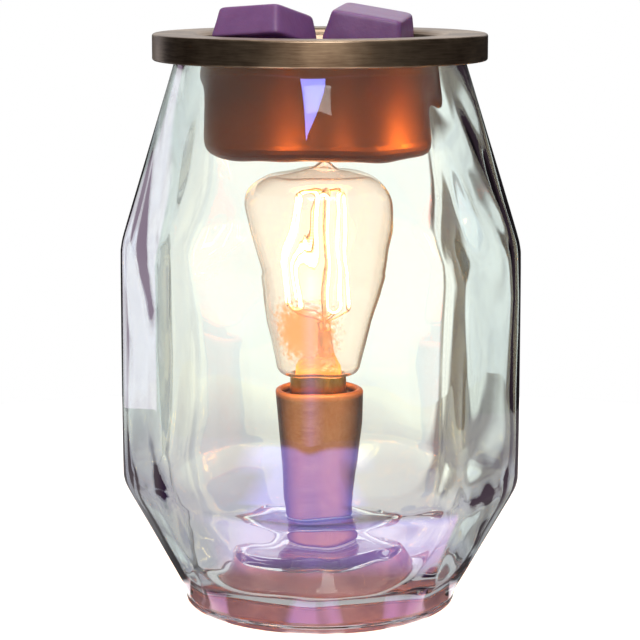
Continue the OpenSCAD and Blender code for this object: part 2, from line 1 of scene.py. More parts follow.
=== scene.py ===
import bmesh
import bpy
import numpy as np
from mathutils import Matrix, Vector


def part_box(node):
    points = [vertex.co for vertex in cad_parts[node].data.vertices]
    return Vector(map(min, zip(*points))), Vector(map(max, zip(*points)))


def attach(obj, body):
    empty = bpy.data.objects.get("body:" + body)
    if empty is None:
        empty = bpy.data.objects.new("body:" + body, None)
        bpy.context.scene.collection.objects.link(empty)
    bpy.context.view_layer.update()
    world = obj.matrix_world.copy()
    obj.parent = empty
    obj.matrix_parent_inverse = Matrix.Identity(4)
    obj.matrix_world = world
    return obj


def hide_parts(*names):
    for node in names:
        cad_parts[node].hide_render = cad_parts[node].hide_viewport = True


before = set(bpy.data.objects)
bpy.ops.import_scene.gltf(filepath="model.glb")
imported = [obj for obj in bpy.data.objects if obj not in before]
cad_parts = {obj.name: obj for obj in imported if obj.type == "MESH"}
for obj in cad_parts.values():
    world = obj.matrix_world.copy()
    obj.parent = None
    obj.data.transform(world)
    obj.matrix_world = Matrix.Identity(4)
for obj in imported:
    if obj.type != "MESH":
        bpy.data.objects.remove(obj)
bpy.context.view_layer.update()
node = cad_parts
mm = 0.001

# ---- Camera ----
# A long lens (134 mm on a frame 36 mm wide), 0.8 m in front of the jar and a little above its rim, looking
# down by 9.3 degrees.
looks_down = 9.3
lens = bpy.data.cameras.new("camera")
lens.sensor_width = 36
lens.lens = 134.05
camera = bpy.data.objects.new("camera", lens)
camera.location = (0, -0.8, 0.23)
camera.rotation_euler = (np.radians(90 - looks_down), 0, 0)
bpy.context.scene.collection.objects.link(camera)
bpy.context.scene.camera = camera
bpy.context.scene.view_settings.view_transform = "Standard"


# ---- Studio ----
# A small round white table in a white room, lit by one soft box in front and one above. Glass and metal mirror
# the room as dark, with bright patches on its wall and table; seen through glass it is white, with a dark gap.
def linear(code, strength=1.0):
    """An sRGB hex colour as the linear colour that shaders take, times a strength."""
    c = np.array([int(code[i:i + 2], 16) / 255 for i in (1, 3, 5)])
    c = np.where(c <= 0.04045, c / 12.92, ((c + 0.055) / 1.055) ** 2.4) * strength
    return (*c.tolist(), 1.0)


def add_node(tree, kind, links=(), **settings):
    """A node of that kind. A setting named as an attribute sets it, any other sets the input of that name
    (with _ for a space, or i0, i1 for its number), and links are (input, output socket) pairs."""
    n = tree.nodes.new(kind)
    for key, value in settings.items():
        if key in n.bl_rna.properties:
            setattr(n, key, value)
        else:
            numbered = key[0] == "i" and key[1:].isdigit()
            n.inputs[int(key[1:]) if numbered else key.replace("_", " ")].default_value = value
    for socket, source in links:
        tree.links.new(source, n.inputs[socket])
    return n


def new_material(name):
    """An empty material: its node tree and its output node."""
    m = bpy.data.materials.new(name)
    m.use_nodes = True
    m.node_tree.nodes.clear()
    return m, m.node_tree, m.node_tree.nodes.new("ShaderNodeOutputMaterial")


def grid_mesh(name, points, wrap_rows=False, wrap_columns=True, materials=(), finish_of_rows=None, smooth_angle=50):
    """A mesh from an array of points [rows, columns, 3] in metres: each cell of the grid is one quad.
    Rows or columns can wrap round to the first. Points that fall together are merged."""
    rows, columns = points.shape[:2]
    i = np.arange(rows if wrap_rows else rows - 1)[:, None]
    j = np.arange(columns if wrap_columns else columns - 1)[None, :]
    i1, j1 = (i + 1) % rows, (j + 1) % columns
    quads = np.stack([i * columns + j, i * columns + j1, i1 * columns + j1, i1 * columns + j], -1).reshape(-1, 4)
    mesh = bpy.data.meshes.new(name)
    mesh.from_pydata(points.reshape(-1, 3), [], quads)
    for m in materials:
        mesh.materials.append(m)
    if finish_of_rows is not None:
        mesh.polygons.foreach_set("material_index", np.repeat(finish_of_rows, len(quads) // len(finish_of_rows)))
    bm = bmesh.new()
    bm.from_mesh(mesh)
    bmesh.ops.remove_doubles(bm, verts=bm.verts, dist=1e-7)
    bmesh.ops.recalc_face_normals(bm, faces=bm.faces)
    bm.to_mesh(mesh)
    bm.free()
    mesh.shade_smooth()
    mesh.set_sharp_from_angle(angle=np.radians(smooth_angle))
    piece = bpy.data.objects.new(name, mesh)
    bpy.context.scene.collection.objects.link(piece)
    return piece


world = bpy.data.worlds.new("white_room")
bpy.context.scene.world = world
world.use_nodes = True
room = world.node_tree
room.nodes.clear()
room_light, mirrored_room = 0.7, 0.03
path = add_node(room, "ShaderNodeLightPath")
seen = add_node(room, "ShaderNodeMath", operation="MAXIMUM",
                links=[(0, path.outputs["Is Camera Ray"]), (1, path.outputs["Is Transmission Ray"])])
soft_light = add_node(room, "ShaderNodeBackground", Color=linear("#ffffff"), Strength=room_light)
dark_room = add_node(room, "ShaderNodeBackground", Color=linear("#ffffff"), Strength=mirrored_room)
white_back = add_node(room, "ShaderNodeBackground", Color=linear("#ffffff"), Strength=1.0)
glossy_or_soft = add_node(room, "ShaderNodeMixShader", links=[
    (0, path.outputs["Is Glossy Ray"]), (1, soft_light.outputs[0]), (2, dark_room.outputs[0])])
either = add_node(room, "ShaderNodeMixShader", links=[
    (0, seen.outputs[0]), (1, glossy_or_soft.outputs[0]), (2, white_back.outputs[0])])
add_node(room, "ShaderNodeOutputWorld", links=[(0, either.outputs[0])])

# The wall round the table, which only reflections and refractions see. Through glass it is white, greyer towards
# the floor and at the left, with a wide dark gap behind on the right and a thin one on the left, which give the
# glass its dark edges. In a mirror it is a dark room with bright panels behind, at the left and low in front.
wall_r, wall_low, wall_high = 1.4, -0.9, 1.7
gap_from, gap_to, gap_low = 22, 76, -0.5
gap_colour = np.array(linear("#3c2034")[:3])
a, z = np.meshgrid(np.linspace(-np.pi, np.pi, 241)[:-1], np.linspace(wall_low, wall_high, 105), indexing="xy")
degrees = np.degrees(a)


def ramp(value, start, end):
    """0 before the start, 1 past the end and even between them. The end may be lower than the start."""
    return np.clip((value - start) / (end - start), 0, 1)


def panel(from_a, to_a, from_z, to_z, soft_a=3.0, soft_z=0.06):
    """Share of a wall panel at each point: 1 inside its span of degrees and heights, with soft edges, where
    soft_a degrees and soft_z metres are the widths of the edges."""
    across = (ramp(degrees, from_a - soft_a / 2, from_a + soft_a / 2)
              * ramp(degrees, to_a + soft_a / 2, to_a - soft_a / 2))
    along = ramp(z, from_z - soft_z / 2, from_z + soft_z / 2) * ramp(z, to_z + soft_z / 2, to_z - soft_z / 2)
    return (across * along)[..., None]


white, floor_grey = np.array(linear("#ffffff")[:3]), np.array(linear("#cfd0d0")[:3])
overbright, left_loss, thin_gap_share = 1.3, 0.12, 0.6
seen_through = overbright * (floor_grey + (white - floor_grey) * ramp(z, -0.5, -0.1)[..., None])
seen_through = seen_through * (1 - left_loss * ramp(degrees, 88, 108))[..., None]
wall_gap = np.maximum(panel(gap_from, gap_to, gap_low, wall_high, 4),
                      thin_gap_share * panel(131, 134, gap_low, wall_high, 2))
seen_through = seen_through * (1 - wall_gap) + wall_gap * gap_colour
mirrored = np.full_like(seen_through, mirrored_room)
for patch, colour, strength in (
        (panel(60, 120, 0.35, 1.4, 10, 0.2), "#ffffff", 1.0),
        (panel(122, 134, -0.5, 0.5), "#f4f6ff", 0.9),
        (panel(-108, -72, -0.8, 0.4, 30, 0.4), "#fff4e6", 1.0)):
    mirrored = mirrored * (1 - patch) + patch * np.array(linear(colour, strength)[:3])

# A mirror behind glass sees the bright panels dimmed by panel_loss, and room_share of the white room with them.
panel_loss, room_share = 0.55, 0.52
m, tree, out = new_material("studio_wall")
path = add_node(tree, "ShaderNodeLightPath")
through = add_node(tree, "ShaderNodeAttribute", attribute_name="seen_through")
mirror = add_node(tree, "ShaderNodeAttribute", attribute_name="mirrored")
inside = add_node(tree, "ShaderNodeMath", operation="MINIMUM", i1=1.0, links=[(0, path.outputs["Transmission Depth"])])
fade = add_node(tree, "ShaderNodeMath", operation="MULTIPLY_ADD", i1=-panel_loss, i2=1.0,
                links=[(0, inside.outputs[0])])
dim_mirror = add_node(tree, "ShaderNodeVectorMath", operation="SCALE",
                      links=[(0, mirror.outputs["Color"]), ("Scale", fade.outputs[0])])
part = add_node(tree, "ShaderNodeMath", operation="MULTIPLY", i1=room_share, links=[(0, inside.outputs[0])])
in_mirror = add_node(tree, "ShaderNodeVectorMath", operation="MULTIPLY_ADD",
                     links=[(0, through.outputs["Color"]), (1, part.outputs[0]), (2, dim_mirror.outputs[0])])
bounced = add_node(tree, "ShaderNodeMix", data_type="RGBA", links=[
    (0, path.outputs["Glossy Depth"]), (6, through.outputs["Color"]), (7, in_mirror.outputs[0])])
lit = add_node(tree, "ShaderNodeMix", data_type="RGBA", i7=linear("#ffffff", room_light), links=[
    (0, path.outputs["Diffuse Depth"]), (6, bounced.outputs[2])])
glow = add_node(tree, "ShaderNodeEmission", Strength=1.0, links=[("Color", lit.outputs[2])])
tree.links.new(glow.outputs[0], out.inputs[0])


def paint(piece, **layers):
    """Stores colours, one for each vertex, as attributes of a mesh."""
    for name, colours in layers.items():
        layer = piece.data.color_attributes.new(name, "FLOAT_COLOR", "POINT")
        with_alpha = np.concatenate([colours, np.ones((len(colours), 1))], -1)
        layer.data.foreach_set("color", with_alpha.astype(np.float32).ravel())


wall = grid_mesh("studio_wall", np.stack([wall_r * np.cos(a), wall_r * np.sin(a), z], -1), materials=[m])
paint(wall, seen_through=seen_through.reshape(-1, 3), mirrored=mirrored.reshape(-1, 3))
wall.visible_camera = wall.visible_diffuse = wall.visible_shadow = False

# The table is a disc of chipboard with matt white laminate, which the camera sees lifted towards pure white.
# Through glass it shows the colours of seen_through, and as a mirror image those of mirrored.
table_r = 0.38
camera_lift, gloss_loss = 0.22, 0.25
m, tree, out = new_material("white_laminate")
path = add_node(tree, "ShaderNodeLightPath")
through = add_node(tree, "ShaderNodeAttribute", attribute_name="seen_through")
mirror = add_node(tree, "ShaderNodeAttribute", attribute_name="mirrored")
matt = add_node(tree, "ShaderNodeBsdfDiffuse", Color=linear("#f7f7f7"))
lift_by = add_node(tree, "ShaderNodeMath", operation="MULTIPLY", i1=camera_lift,
                   links=[(0, path.outputs["Is Camera Ray"])])
lift = add_node(tree, "ShaderNodeEmission", Color=linear("#ffffff"), links=[("Strength", lift_by.outputs[0])])
bare = add_node(tree, "ShaderNodeAddShader", links=[(0, matt.outputs[0]), (1, lift.outputs[0])])
glossy = add_node(tree, "ShaderNodeMath", operation="MINIMUM", i1=1.0, links=[(0, path.outputs["Glossy Depth"])])
inside = add_node(tree, "ShaderNodeMath", operation="MINIMUM", i1=1.0, links=[(0, path.outputs["Transmission Depth"])])
dim = add_node(tree, "ShaderNodeMath", operation="MULTIPLY_ADD", i1=-gloss_loss, i2=1.0,
               links=[(0, glossy.outputs[0])])
behind_glass = add_node(tree, "ShaderNodeEmission", links=[
    ("Color", through.outputs["Color"]), ("Strength", dim.outputs[0])])
shining = add_node(tree, "ShaderNodeEmission", Strength=1.0, links=[("Color", mirror.outputs["Color"])])
in_gloss = add_node(tree, "ShaderNodeMixShader", links=[
    (0, glossy.outputs[0]), (1, bare.outputs[0]), (2, shining.outputs[0])])
in_glass = add_node(tree, "ShaderNodeMixShader", links=[
    (0, inside.outputs[0]), (1, in_gloss.outputs[0]), (2, behind_glass.outputs[0])])
tree.links.new(in_glass.outputs[0], out.inputs[0])
r, turn = np.meshgrid(np.linspace(0, table_r, 121), np.linspace(0, 2 * np.pi, 181)[:-1], indexing="ij")
table_top = grid_mesh("table_top", np.stack([r * np.cos(turn), r * np.sin(turn), 0 * r], -1), materials=[m])
spot = np.array([v.co for v in table_top.data.vertices])
far = np.linalg.norm(spot, axis=1)[:, None] / table_r
around = np.degrees(np.arctan2(spot[:, 1:2], spot[:, :1]))

# Mirrored: a dull table, with painted shade near the jar and brighter further out, and three painted patches of lamp
# light: a wedge in front between two straight edges that pass 26 mm from the middle, a band close by in front, and
# short glints round the foot.
edge_across = np.array([[0.763, -0.629], [0.617, 0.777]])
wedge = ramp(-(spot[:, :2] @ edge_across), 0.026, 0.029).prod(1, keepdims=True)
wedge *= ramp(far, 0.3, 0.4) * ramp(far, 0.97, 0.94)
band = ramp(far, 0.166, 0.186) * ramp(far, 0.36, 0.28) * ramp(around, -140, -128) * ramp(around, -20, -30)
flicker = 2.5 * np.sin(np.radians(around) * 7 + 0.6) + 1.4 * np.sin(np.radians(around) * 17) - 0.1
glints = 0.9 * np.clip(flicker, 0, 1) * ramp(far, 0.15, 0.14)
dull_with_painted_shade = np.interp(far, (0, 0.18, 0.4, 1), (0.03, 0.08, 0.26, 0.15))
painted_lamp_light = 1.95 * np.maximum(np.maximum(wedge, band), glints)

# Through glass: grey near the jar, a painted shade, and white far out, sooner on the right, with the wall's dark gap
# running over it.
painted_shade_grey, far_white = 1.4 * np.array(linear("#b4afb9")[:3]), overbright * np.array(linear("#f6f5ef")[:3])
whiteness = ramp(far + 0.1 * np.clip(spot[:, :1] / 0.05, -1, 1), 0.25, 0.95) ** 1.3
table_gap = 0.75 * ramp(around, gap_from, gap_from + 4) * ramp(around, gap_to, gap_to - 4) * ramp(far, 0.3, 0.5)
through = painted_shade_grey + (far_white - painted_shade_grey) * whiteness
paint(table_top, mirrored=(dull_with_painted_shade + painted_lamp_light) * np.ones(3),
      seen_through=through * (1 - table_gap) + table_gap * gap_colour)

for name, place, width, height, power in (
        ("soft_box_front", (0, -1.1, 1.052), 0.9, 0.5, 8.6), ("soft_box_top", (0, 0.1, 1.2), 0.8, 0.6, 4.4)):
    # A lamp behind a rectangle of white cloth (metres and watts), turned to face the middle of the jar.
    lamp = bpy.data.lights.new(name, "AREA")
    lamp.shape = "RECTANGLE"
    lamp.size, lamp.size_y = width, height
    lamp.energy = power
    holder = bpy.data.objects.new(name, lamp)
    holder.location = place
    holder.rotation_euler = (Vector((0, 0, 0.1)) - Vector(place)).to_track_quat("-Z", "Y").to_euler()
    bpy.context.scene.collection.objects.link(holder)

# ---- Glass jar ----
# Pressed soda-lime glass with eight cut faces that run into a round neck and foot. The outside has a vapour-coated
# lustre and the hollow under the floor a bronze lacquer. Everything stands in or on it; it rests on rubber feet.
facets, facet_turn = 8, 19.5
jar_r, jar_wall = 68, 3.2
foot_gap, foot_h, foot_r = 0.8, 5.6, 46.4
bevel_z, shoulder_h, neck_h, lip = 43, 63, 5.5, 3.2
floor_z, mound_z, mound_r, mound_slope, mound_wall = 11.6, 25, 25, 9, 5
cover_z, cover_t, cover_r = 2.2, 1.2, 33.8
dish_r, dish_t, seat_t, mouth_gap = 39.8, 0.9, 2, 4.5
rim_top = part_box("wax_dish")[1][2] / mm
mouth_z = rim_top - dish_t - seat_t
neck_z = mouth_z - neck_h
shoulder_z = neck_z - shoulder_h
mouth_in = dish_r + dish_t + mouth_gap
mouth_r = mouth_in + lip
step_z = cover_z + cover_t
past_flats = 1.066
inner_corner = (jar_r * np.cos(np.pi / facets) - jar_wall) * past_flats
shoulder_slope = (jar_r - mouth_r) / shoulder_h
bevel_slope = (jar_r - foot_r) / (bevel_z - foot_h)
plateau_under = mound_z - mound_wall
outer_soft, inner_soft = 44, 32

# Rings of the skin, each [height, radius over the corners, share of the cut shape, hardness of its corners].
underside = [
    [plateau_under, 5.2, 0, 1], [plateau_under, mound_r - 3, 0, 1], [plateau_under - 2, mound_r - 1, 0, 1],
    [step_z + 2, mound_r + mound_slope - mound_wall + 0.5, 0, 1],
    [step_z, mound_r + mound_slope - mound_wall + 2, 0, 1],
    [step_z, cover_r + 0.4, 0, 1], [foot_gap, cover_r + 0.4, 0, 1], [foot_gap, foot_r - 5.4, 0, 1],
    [foot_gap + 0.5, foot_r - 3.2, 0, 1], [foot_gap + 1.6, foot_r - 1, 0, 1], [foot_gap + 3, foot_r, 0, 1],
    [foot_h - 0.6, foot_r - 0.5, 0, 1]]
outside = [[z, r, cut, outer_soft] for z, r, cut in (
    (foot_h + 0.8, foot_r - 0.2 + bevel_slope, 0.25), (foot_h + 6, foot_r + 6.5 * bevel_slope, 0.6),
    (bevel_z - 12, jar_r - 12 * bevel_slope, 0.9), (bevel_z - 2.5, jar_r - 2.5 * bevel_slope, 1),
    (bevel_z, jar_r - 0.5, 1), (bevel_z + 3, jar_r, 1), (shoulder_z - 3, jar_r, 1), (shoulder_z, jar_r - 0.4, 1),
    (shoulder_z + 3, jar_r - 3.2 * shoulder_slope, 1),
    (shoulder_z + shoulder_h * 0.45, jar_r - shoulder_h * 0.45 * shoulder_slope, 0.85),
    (shoulder_z + shoulder_h * 0.8, jar_r - shoulder_h * 0.8 * shoulder_slope, 0.3),
    (neck_z - 2, mouth_r + 2 * shoulder_slope, 0.1), (neck_z, mouth_r, 0),
    (mouth_z - 0.8, mouth_r, 0), (mouth_z, mouth_r - 0.8, 0))]
inside = [[z, r, cut, outer_soft if z > shoulder_z + 9 else inner_soft] for z, r, cut in (
    (mouth_z, mouth_in + 0.8, 0), (mouth_z - 0.8, mouth_in, 0), (neck_z - 3, mouth_in, 0.12),
    (shoulder_z + shoulder_h * 0.8, inner_corner - (inner_corner - mouth_in) * 0.83, 0.3),
    (shoulder_z + shoulder_h * 0.6, inner_corner - (inner_corner - mouth_in) * 0.62, 0.62),
    (shoulder_z + 6, inner_corner - 2.4, 1), (shoulder_z - 4, inner_corner, 1), (bevel_z + 6, inner_corner, 1),
    (bevel_z - 2, inner_corner - 2.6, 1), (floor_z + 9, foot_r + 5.8 * bevel_slope, 0.5),
    (floor_z + 3, foot_r - 2, 0), (floor_z + 0.8, foot_r - 5, 0), (floor_z, foot_r - 9, 0),
    (floor_z, mound_r + mound_slope + 1.5, 0), (floor_z + 1.4, mound_r + mound_slope - 1, 0),
    (mound_z - 2.5, mound_r + 1.8, 0), (mound_z - 0.6, mound_r + 0.3, 0), (mound_z, mound_r - 1.2, 0),
    (mound_z, 5.2, 0))]
skin = np.array(underside + outside + inside, float)
coated = np.concatenate([np.zeros(len(underside)), np.ones(len(outside)), np.zeros(len(inside))])
rows = np.column_stack([skin, coated])
for _ in range(2):
    # Corner cutting: each pass puts two points on every stretch, a quarter in from its ends.
    nxt = np.roll(rows, -1, axis=0)
    rows = np.stack([rows * 0.75 + nxt * 0.25, rows * 0.25 + nxt * 0.75], 1).reshape(-1, 5)


def soft_polygon(angle, soft):
    """Radius of a regular polygon with soft corners, 1 at the corners: one over the p-norm of the cosines to its
    sides, where a higher p gives harder corners."""
    middles = np.arange(facets) * 2 * np.pi / facets - np.pi / 2 + np.radians(facet_turn)
    near = np.clip(np.cos(angle[..., None] - middles), 0, None) ** soft[..., None]
    corner = 2 ** (-1 / soft) / np.cos(np.pi / facets)
    return near.sum(-1) ** (-1 / soft) / corner


angle = np.linspace(0, 2 * np.pi, 257)[:-1][None, :] + np.zeros((len(rows), 1))
z, r, cut, soft, coat = (rows[:, k:k + 1] + 0 * angle for k in range(5))
r = r * (1 - cut + cut * soft_polygon(angle, np.clip(soft, 2, None)))

# Pressed glass is never even: slow waves over the inner wall, each with its size, its number round the jar, its
# length up the wall and its start, and an uneven edge round the mound. The whole is a hair inside its solid.
wall_share = (1 - coat) * cut
waves = sum(size * np.sin(n * angle + 2 * np.pi * z / long + start) for size, n, long, start in (
    (0.40, 3, 95, 0.4), (0.34, 8, 58, 2.1), (0.20, 13, 37, 4.4), (0.10, 21, 25, 1.3)))
on_mound = ramp(z, floor_z, floor_z + 3) * ramp(r, mound_r - 4, mound_r - 1) * (z < mound_z + 1)
mound_share = (1 - coat) * (1 - cut) * on_mound
bulges = 1.2 + 1.5 * np.sin(2 * angle + 0.5) + 0.8 * np.sin(5 * angle + 1.9) + 0.3 * np.sin(11 * angle)
hair_inside = 0.9998
r = hair_inside * (r + wall_share * waves + mound_share * bulges)
jar_points = np.stack([r * np.cos(angle), r * np.sin(angle), z], -1) * mm

# The lustre is a metal oxide film 131 nm thick, which gives a faint pink and green sheen. The glass inside is bare.
# The lacquer is mauve brown with clouds about 11 mm apart; its thin binder hardly shines against the glass.
lustre, tree, out = new_material("glass_with_lustre")
glass = add_node(tree, "ShaderNodeBsdfPrincipled", Base_Color=linear("#fefffe"), Roughness=0.0, IOR=1.52,
                 Transmission_Weight=1.0, Thin_Film_Thickness=131.0, Thin_Film_IOR=2.2)
tree.links.new(glass.outputs[0], out.inputs[0])
clear, tree, out = new_material("clear_soda_lime_glass")
glass = add_node(tree, "ShaderNodeBsdfPrincipled", Base_Color=linear("#fefffe"), Roughness=0.0, IOR=1.52,
                 Transmission_Weight=1.0)
tree.links.new(glass.outputs[0], out.inputs[0])
lacquer, tree, out = new_material("bronze_lacquer_on_glass")
place = add_node(tree, "ShaderNodeTexCoord").outputs["Object"]
cloud = add_node(tree, "ShaderNodeTexNoise", Scale=1 / (11.11 * mm), Detail=4.0, links=[("Vector", place)])
colour = add_node(tree, "ShaderNodeMix", data_type="RGBA", i6=linear("#5a3f58"), i7=linear("#ac868c"),
                  links=[(0, cloud.outputs[0])])
glass = add_node(tree, "ShaderNodeBsdfPrincipled", Roughness=0.5, IOR=1.1,
                 links=[("Base Color", colour.outputs[2])])
tree.links.new(glass.outputs[0], out.inputs[0])
under_foot = np.arange(len(rows)) < 4 * len(underside)
finish_of_rows = np.where(np.minimum(rows[:, 4], np.roll(rows[:, 4], -1)) > 0.5, 0, 1)
finish_of_rows[under_foot & (rows[:, 0] < plateau_under - 1) & (rows[:, 1] < cover_r + 0.3)] = 2
jar = grid_mesh("jar", jar_points, wrap_rows=True, materials=[lustre, clear, lacquer], finish_of_rows=finish_of_rows,
                smooth_angle=80)
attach(jar, "base")
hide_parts("glass_jar")
jar.visible_shadow = False  # clear glass casts hardly any, here and below


# ---- Rubber feet, cord grommet and lower rubber washer ----
# Black EPDM rubber, compression moulded with a dull, slightly dusty skin. The feet are pressed into the
# hollow under the jar, the grommet sits in the notch where the lead leaves, the washer under the jar's hole.
m, tree, out = new_material("black_epdm_rubber")
place = add_node(tree, "ShaderNodeTexCoord").outputs["Object"]
dust = add_node(tree, "ShaderNodeTexNoise", Scale=1 / (3.03 * mm), Detail=4.0, links=[("Vector", place)])
colour = add_node(tree, "ShaderNodeMix", data_type="RGBA", i6=linear("#161618"), i7=linear("#2b2b2e"),
                  links=[(0, dust.outputs[0])])
skin_grain = add_node(tree, "ShaderNodeTexNoise", Scale=1 / (0.4 * mm), links=[("Vector", place)])
bump = add_node(tree, "ShaderNodeBump", Strength=0.25, Distance=0.0001, links=[("Height", skin_grain.outputs[0])])
rough = add_node(tree, "ShaderNodeMapRange", To_Min=0.6, To_Max=0.85, links=[("Value", dust.outputs[0])])
shader = add_node(tree, "ShaderNodeBsdfPrincipled", IOR=1.5, links=[
    ("Base Color", colour.outputs[2]), ("Roughness", rough.outputs[0]), ("Normal", bump.outputs[0])])
tree.links.new(shader.outputs[0], out.inputs[0])


def finish(material, *names):
    """Gives CAD solids their material."""
    for name in names:
        node[name].data.materials.clear()
        node[name].data.materials.append(material)


finish(m, "rubber_feet", "cord_grommet", "lower_rubber_washer")

# ---- Base cover ----
# A spun disc of thin steel under the jar's floor, sprayed with bronze lacquer in clouds 9 mm apart. Its flakes are
# drawn 0.6 mm apart, coarser than real ones, so that they show. It hides the wiring; the lower nut holds it.
m, tree, out = new_material("bronze_lacquered_steel")
place = add_node(tree, "ShaderNodeTexCoord").outputs["Object"]
cloud = add_node(tree, "ShaderNodeTexNoise", Scale=1 / (9.091 * mm), Detail=3.0, links=[("Vector", place)])
colour = add_node(tree, "ShaderNodeMix", data_type="RGBA", i6=linear("#7c4d42"), i7=linear("#a87463"),
                  links=[(0, cloud.outputs[0])])
flake = add_node(tree, "ShaderNodeTexVoronoi", Scale=1 / (0.625 * mm), links=[("Vector", place)])
bump = add_node(tree, "ShaderNodeBump", Strength=0.15, Distance=0.0001, links=[("Height", flake.outputs[0])])
shader = add_node(tree, "ShaderNodeBsdfPrincipled", Metallic=0.7, Roughness=0.4, links=[
    ("Base Color", colour.outputs[2]), ("Normal", bump.outputs[0])])
tree.links.new(shader.outputs[0], out.inputs[0])
finish(m, "base_cover")

# ---- Threaded pipe, nuts and steel washer ----
# Turned and stamped steel with zinc plating, bright with a grey bloom in spots 4 mm apart. The hollow pipe clamps
# lamp holder, glass and cover together; the bracket and rivets of the lamp holder have the same plating.
m, tree, out = new_material("zinc_plated_steel")
place = add_node(tree, "ShaderNodeTexCoord").outputs["Object"]
bloom = add_node(tree, "ShaderNodeTexNoise", Scale=1 / (3.846 * mm), Detail=5.0, links=[("Vector", place)])
colour = add_node(tree, "ShaderNodeMix", data_type="RGBA", i6=linear("#a3a29c"), i7=linear("#cfcdc6"),
                  links=[(0, bloom.outputs[0])])
rough = add_node(tree, "ShaderNodeMapRange", To_Min=0.22, To_Max=0.42, links=[("Value", bloom.outputs[0])])
tool_marks = add_node(tree, "ShaderNodeTexNoise", Scale=1 / (0.5556 * mm), links=[("Vector", place)])
bump = add_node(tree, "ShaderNodeBump", Strength=0.1, Distance=0.0001, links=[("Height", tool_marks.outputs[0])])
shader = add_node(tree, "ShaderNodeBsdfPrincipled", Metallic=1.0, links=[
    ("Base Color", colour.outputs[2]), ("Roughness", rough.outputs[0]), ("Normal", bump.outputs[0])])
tree.links.new(shader.outputs[0], out.inputs[0])
finish(m, "stem_pipe", "stem_locknuts", "cover_nut", "lower_steel_washer", "socket_bracket", "bracket_rivets")

# ---- Sleeve washer and dish seat ring ----
# Milky silicone, compression moulded. One washer beds the sleeve on the glass, and the ring keeps the hot
# dish off the jar's mouth.
m, tree, out = new_material("milky_silicone")
place = add_node(tree, "ShaderNodeTexCoord").outputs["Object"]
cloud = add_node(tree, "ShaderNodeTexNoise", Scale=1 / (2.5 * mm), Detail=2.0, links=[("Vector", place)])
colour = add_node(tree, "ShaderNodeMix", data_type="RGBA", i6=linear("#dedfdd"), i7=linear("#f4f5f3"),
                  links=[(0, cloud.outputs[0])])
bump = add_node(tree, "ShaderNodeBump", Strength=0.1, Distance=0.0001, links=[("Height", cloud.outputs[0])])
shader = add_node(tree, "ShaderNodeBsdfPrincipled", Roughness=0.38, IOR=1.41, Transmission_Weight=0.6, links=[
    ("Base Color", colour.outputs[2]), ("Normal", bump.outputs[0])])
tree.links.new(shader.outputs[0], out.inputs[0])
finish(m, "sleeve_washer", "dish_seat_ring")
node["dish_seat_ring"].visible_shadow = False

# ---- Lamp holder sleeve ----
# A tapered sleeve of thin aluminium with a rolled lip, powder coated in bronze: a fine leathery grain of 0.7 mm
# under clouds of 6 mm. The bracket inside holds it on the pipe.
m, tree, out = new_material("bronze_powder_coat")
place = add_node(tree, "ShaderNodeTexCoord").outputs["Object"]
cloud = add_node(tree, "ShaderNodeTexNoise", Scale=1 / (5.556 * mm), Detail=3.0, links=[("Vector", place)])
speckle = add_node(tree, "ShaderNodeTexNoise", Scale=1 / (0.6667 * mm), Detail=2.0, links=[("Vector", place)])
mottle = add_node(tree, "ShaderNodeMath", operation="MULTIPLY", links=[(0, cloud.outputs[0]), (1, speckle.outputs[0])])
spread = add_node(tree, "ShaderNodeMapRange", From_Min=0.12, From_Max=0.4, links=[("Value", mottle.outputs[0])])
coat = add_node(tree, "ShaderNodeMix", data_type="RGBA", i6=linear("#a8744a"), i7=linear("#bd8d62"),
                links=[(0, spread.outputs[0])])
# The metal flakes lie flat, so the coat turns dark brown where it is seen aslant.
slant = add_node(tree, "ShaderNodeLayerWeight", Blend=0.5)
flop = add_node(tree, "ShaderNodeMapRange", From_Min=0.12, From_Max=0.6, links=[("Value", slant.outputs["Facing"])])
colour = add_node(tree, "ShaderNodeMix", data_type="RGBA", i7=linear("#4c2a1c"), links=[
    (0, flop.outputs[0]), (6, coat.outputs[2])])
bump = add_node(tree, "ShaderNodeBump", Strength=0.35, Distance=0.00015, links=[("Height", speckle.outputs[0])])
# Painted light: the rolled lip glows orange, standing in for the bulb's light on it from above.
sleeve_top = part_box("socket_sleeve")[1][2]
parts = add_node(tree, "ShaderNodeSeparateXYZ", links=[("Vector", place)])
painted_lip_glow = add_node(tree, "ShaderNodeMapRange", From_Min=sleeve_top - 2.6 * mm, From_Max=sleeve_top - 0.8 * mm,
                    To_Min=0.0, To_Max=0.45, links=[("Value", parts.outputs[2])])
shader = add_node(tree, "ShaderNodeBsdfPrincipled", Metallic=0.75, Roughness=0.42,
                  Emission_Color=linear("#f07a38"), links=[
                      ("Base Color", colour.outputs[2]), ("Normal", bump.outputs[0]),
                      ("Emission Strength", painted_lip_glow.outputs[0])])
tree.links.new(shader.outputs[0], out.inputs[0])
finish(m, "socket_sleeve")

# ---- Lamp holder body ----
# Black phenolic, hot pressed with mineral filler, which shows as grey specks in a satin skin. The specks are
# drawn 0.6 mm apart, coarser than real ones. The bracket's two rivets hold it.
m, tree, out = new_material("black_phenolic")
place = add_node(tree, "ShaderNodeTexCoord").outputs["Object"]
filler = add_node(tree, "ShaderNodeTexNoise", Scale=1 / (0.5882 * mm), Detail=3.0, links=[("Vector", place)])
specks = add_node(tree, "ShaderNodeMapRange", From_Min=0.6, From_Max=0.75, links=[("Value", filler.outputs[0])])
colour = add_node(tree, "ShaderNodeMix", data_type="RGBA", i6=linear("#1d1917"), i7=linear("#4a4440"),
                  links=[(0, specks.outputs[0])])
shader = add_node(tree, "ShaderNodeBsdfPrincipled", Roughness=0.4, IOR=1.6, links=[("Base Color", colour.outputs[2])])
tree.links.new(shader.outputs[0], out.inputs[0])
finish(m, "socket_body")

